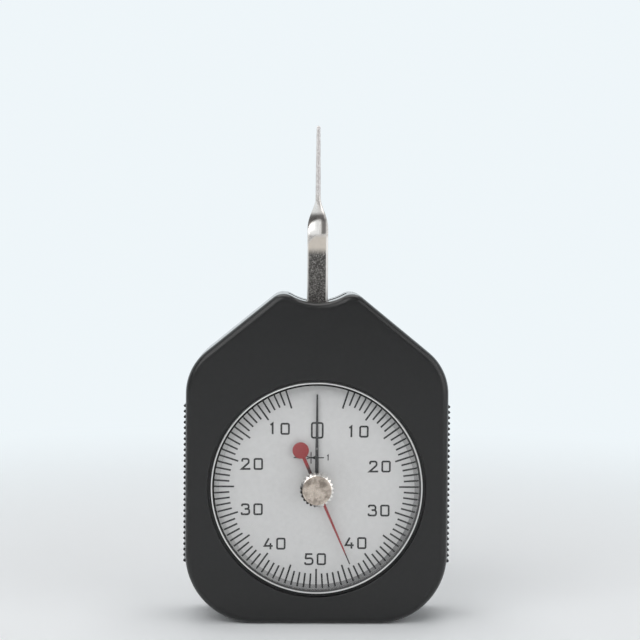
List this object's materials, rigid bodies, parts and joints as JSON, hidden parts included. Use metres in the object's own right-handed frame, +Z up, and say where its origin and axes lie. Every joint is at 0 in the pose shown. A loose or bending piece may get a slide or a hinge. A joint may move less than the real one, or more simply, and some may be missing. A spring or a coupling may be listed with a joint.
{
  "type": "dial tension gauge",
  "caption": "Flat hand-held force gauge: a case with a round dial, a black pointer, a red drag pointer with a reset knob, and a twisted feeler lever that swings at the top.",
  "frame": {"origin": "middle of the case's flat bottom edge, half way between the knob's face and the rear cover's face", "axes": "+Z up along the lever, +Y from the dial towards the back, +X to the right seen from the front"},
  "size_m": [0.0632, 0.0228, 0.1181],
  "materials": {
    "plastic": "fine satin moulded plastic",
    "nickel": "nickel plated, slightly tarnished",
    "brass": "satin",
    "steel": "turned",
    "spring_steel": "blued",
    "clear": "clear moulded plastic",
    "dial_paint": "matt light grey dial paint",
    "black_paint": "matt",
    "red_paint": "matt"
  },
  "bodies": {
    "case": {"front_cover": "plastic", "rear_cover": "plastic", "case_screw_1": "steel", "case_screw_2": "steel", "case_screw_3": "steel", "case_screw_4": "steel", "bezel_ring": "nickel", "crystal": "clear", "crystal_bush": "brass", "dial_plate": "dial_paint", "movement_plate": "brass", "bridge_plate": "brass", "movement_screw_1": "steel", "movement_screw_2": "steel", "movement_screw_3": "steel", "movement_screw_4": "steel", "pillar_1": "brass", "pillar_2": "brass", "pillar_3": "brass", "pillar_4": "brass", "bridge_screw_1": "steel", "bridge_screw_2": "steel", "bridge_screw_3": "steel", "bridge_screw_4": "steel", "pointer_bush_front": "brass", "pointer_bush_rear": "brass", "lever_bush_front": "brass", "lever_bush_rear": "brass", "hairspring": "spring_steel", "hairspring_stud": "brass", "spring_clamp": "brass", "clamp_screw_1": "steel", "clamp_screw_2": "steel", "measuring_spring": "spring_steel", "stop_post_left": "steel", "stop_post_right": "steel", "friction_washer": "steel"},
    "lever": {"feeler_lever": "nickel", "lever_holder": "brass", "lever_arbor": "steel", "sector_gear": "brass", "sector_hub": "brass", "lever_screw_1": "steel", "lever_screw_2": "steel"},
    "pointer": {"pointer_arbor": "steel", "pinion": "steel", "hairspring_collet": "brass", "pointer_hub": "brass", "black_pointer": "black_paint", "drag_pin": "nickel"},
    "drag_hand": {"drag_pointer": "red_paint", "reset_knob": "nickel", "knob_spindle": "steel"}
  },
  "joints": [
    {"name": "lever_swing", "type": "hinge", "parent": "case", "child": "lever", "pos_m": [0, 0, 0.0672], "axis": [0, -1, 0], "range_deg": [-12, 12], "stiffness_Nm_per_rad": 0.12, "deforming": ["measuring_spring"]},
    {"name": "pointer_spin", "type": "hinge", "parent": "case", "child": "pointer", "pos_m": [0, 0, 0.0322], "axis": [0, -1, 0], "range_deg": [-180.5, 180.5], "deforming": ["hairspring"]},
    {"name": "drag_pointer_spin", "type": "hinge", "parent": "case", "child": "drag_hand", "pos_m": [0, 0, 0.0322], "axis": [0, -1, 0], "continuous": true}
  ],
  "couplings": [
    {"joint": "pointer_spin", "follows": "lever_swing", "ratio": -15}
  ]
}
